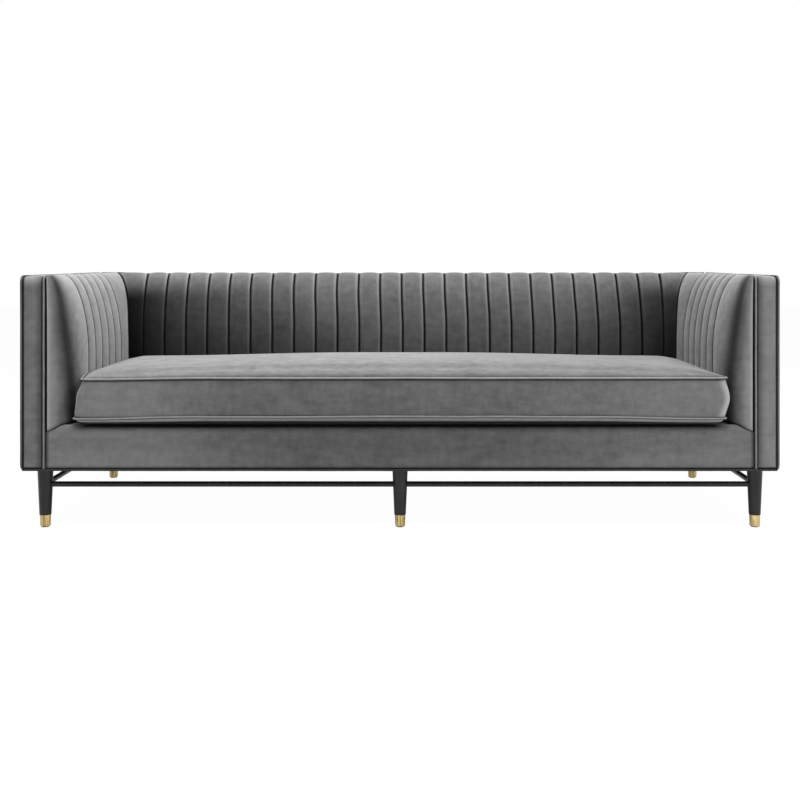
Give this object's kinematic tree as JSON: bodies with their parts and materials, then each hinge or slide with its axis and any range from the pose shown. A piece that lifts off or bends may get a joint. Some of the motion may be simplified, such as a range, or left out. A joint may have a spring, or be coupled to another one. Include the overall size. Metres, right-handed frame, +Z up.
{
  "type": "tuxedo sofa",
  "caption": "Grey velvet tuxedo sofa to sit on: arms as high as the channel-tufted back, a loose bench cushion, black turned legs with brass ferrules and stretcher rods.",
  "frame": {"origin": "on the floor under the middle of the sofa's footprint", "axes": "+X along the width, to the right as seen from the front; +Y from the front to the back; +Z up"},
  "size_m": [2.2, 0.812, 0.738],
  "materials": {
    "velvet": "short-pile neutral grey velvet with a soft sheen and pile shading",
    "velvet_welt": "welt cord covered in the same grey velvet",
    "hardwood": "planed, unfinished frame wood",
    "jute": "coarse woven jute",
    "spring_steel": "drawn spring wire",
    "deck_cloth": "dark grey deck cloth over felt",
    "black_cloth": "black non-woven and tape cloth",
    "black_lacquer": "turned wood in satin black lacquer",
    "ferrule_brass": "satin brass",
    "zip_brass": "plain brass",
    "glide_plastic": "black nylon",
    "zinc_steel": "zinc-plated steel",
    "foam": "seat foam"
  },
  "bodies": {
    "sofa_body": {"outer_back_cover": "velvet", "left_outer_arm_cover": "velvet", "right_outer_arm_cover": "velvet", "left_border_strip": "velvet", "right_border_strip": "velvet", "back_top_strip": "velvet", "left_arm_pad": "velvet", "right_arm_pad": "velvet", "back_pad": "velvet", "front_rail_pad": "velvet", "left_side_welt": "velvet_welt", "right_side_welt": "velvet_welt", "inner_welt": "velvet_welt", "front_bottom_welt": "velvet_welt", "back_edge_welts": "velvet_welt", "front_seat_rail": "hardwood", "rear_seat_rail": "hardwood", "side_seat_rails": "hardwood", "seat_cross_rails": "hardwood", "corner_blocks": "hardwood", "leg_blocks": "hardwood", "arm_front_posts": "hardwood", "rear_posts": "hardwood", "arm_top_rails": "hardwood", "arm_inner_boards": "hardwood", "back_top_rail": "hardwood", "back_tack_rail": "hardwood", "back_studs": "hardwood", "frame_dowels": "hardwood", "back_webbing": "jute", "back_burlap": "jute", "deck_burlap": "jute", "seat_springs": "spring_steel", "spring_clips": "spring_steel", "spring_tie_wires": "spring_steel", "deck_pad": "deck_cloth", "dust_cover": "black_cloth", "front_left_leg": "black_lacquer", "front_middle_leg": "black_lacquer", "front_right_leg": "black_lacquer", "rear_left_leg": "black_lacquer", "rear_middle_leg": "black_lacquer", "rear_right_leg": "black_lacquer", "front_stretchers": "black_lacquer", "rear_stretchers": "black_lacquer", "side_stretchers": "black_lacquer", "ferrules": "ferrule_brass", "floor_glides": "glide_plastic", "leg_bolts": "zinc_steel", "leg_plates": "zinc_steel", "plate_screws": "zinc_steel"},
    "seat_cushion": {"cushion_cover": "velvet", "cushion_core": "foam", "cushion_top_welt": "velvet_welt", "cushion_bottom_welt": "velvet_welt", "zip_tape": "black_cloth"},
    "slider": {"zip_slider": "zip_brass"},
    "pull_tab": {"zip_pull_tab": "zip_brass"}
  },
  "joints": [
    {"name": "cushion_lift", "type": "slide", "parent": "sofa_body", "child": "seat_cushion", "axis": [0, 0, 1], "range_m": [0, 0.46]},
    {"name": "zip_travel", "type": "slide", "parent": "seat_cushion", "child": "slider", "axis": [-1, 0, 0], "range_m": [0, 1.41]},
    {"name": "tab_flip", "type": "hinge", "parent": "slider", "child": "pull_tab", "pos_m": [0.705, 0.2062, 0.3795], "axis": [0, 0, 1], "range_deg": [0, 175]}
  ]
}
